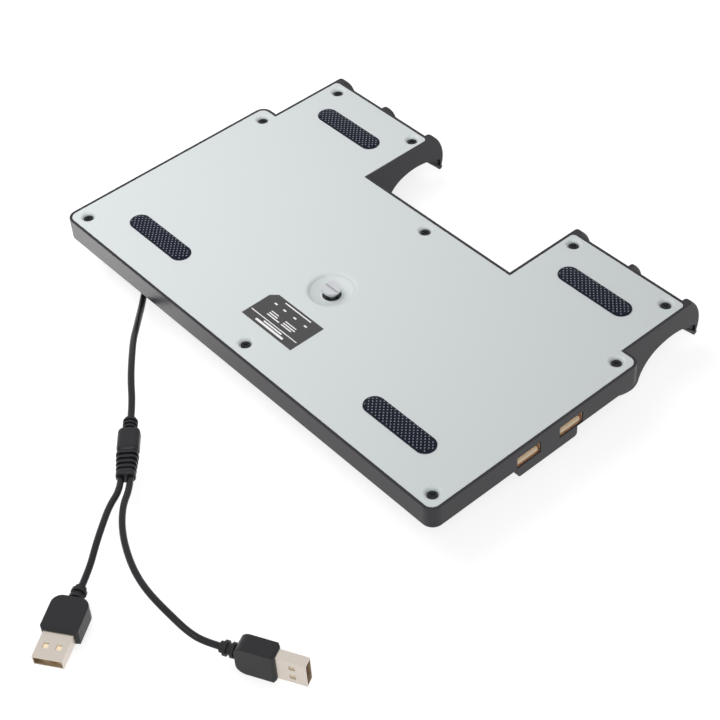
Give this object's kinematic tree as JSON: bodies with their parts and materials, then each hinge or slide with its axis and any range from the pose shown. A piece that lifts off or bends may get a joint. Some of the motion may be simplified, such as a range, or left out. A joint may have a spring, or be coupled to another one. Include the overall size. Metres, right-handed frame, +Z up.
{
  "type": "controller charging stand",
  "caption": "Low black console stand with paired controller charging cradles, a grey bottom plate, end charging ports and a forked cable with flat plugs",
  "frame": {"origin": "on the floor under the middle of the stand without its cable", "axes": "+X towards the end wall with the charging ports, +Y towards the back where the cable leaves, +Z up from the feet to the cradles"},
  "size_m": [0.2695, 0.3164, 0.0289],
  "materials": {
    "shell_plastic": "fine-grained dark moulded plastic",
    "plate_plastic": "satin silver-grey",
    "foot_rubber": "knurled black rubber",
    "black_steel": "black-coated steel",
    "bright_steel": "bright plated steel",
    "inner_plastic": "black moulded plastic",
    "board": "green circuit board",
    "port_metal": "warm plated sheet",
    "port_plastic": "cream plastic",
    "clear_plastic": "cloudy clear plastic",
    "cable_plastic": "soft dark cable jacket",
    "grip_plastic": "dark moulded grip",
    "plug_metal": "nickel-plated sheet"
  },
  "bodies": {
    "stand": {"upper_shell": "shell_plastic", "bottom_plate": "plate_plastic", "foot_back_left": "foot_rubber", "foot_back_right": "foot_rubber", "foot_front_left": "foot_rubber", "foot_front_right": "foot_rubber", "plate_screws": "black_steel", "retaining_washer": "inner_plastic", "main_board": "board", "board_screws": "black_steel", "port_shell_back": "port_metal", "port_shell_front": "port_metal", "port_tongue_back": "port_plastic", "port_tongue_front": "port_plastic", "cradle_board_left": "board", "cradle_board_right": "board", "connector_base_left": "inner_plastic", "connector_base_right": "inner_plastic", "connector_tip_left": "plug_metal", "connector_tip_right": "plug_metal", "indicator_left": "clear_plastic", "indicator_right": "clear_plastic", "cable_gland": "cable_plastic", "supply_lead": "cable_plastic", "cradle_lead_left": "cable_plastic", "cradle_lead_right": "cable_plastic", "main_cord": "cable_plastic", "splitter": "grip_plastic", "branch_cord_left": "cable_plastic", "branch_cord_right": "cable_plastic", "plug_grip_left": "grip_plastic", "plug_grip_right": "grip_plastic", "plug_shell_left": "plug_metal", "plug_shell_right": "plug_metal", "plug_tongue_left": "port_plastic", "plug_tongue_right": "port_plastic"},
    "fixing_screw": {"fixing_screw": "bright_steel", "retaining_clip": "bright_steel"}
  },
  "joints": [
    {"name": "fixing_screw_turn", "type": "hinge", "parent": "stand", "child": "fixing_screw", "pos_m": [0, 0.02735, 0.01], "axis": [0, 0, 1], "continuous": true}
  ]
}
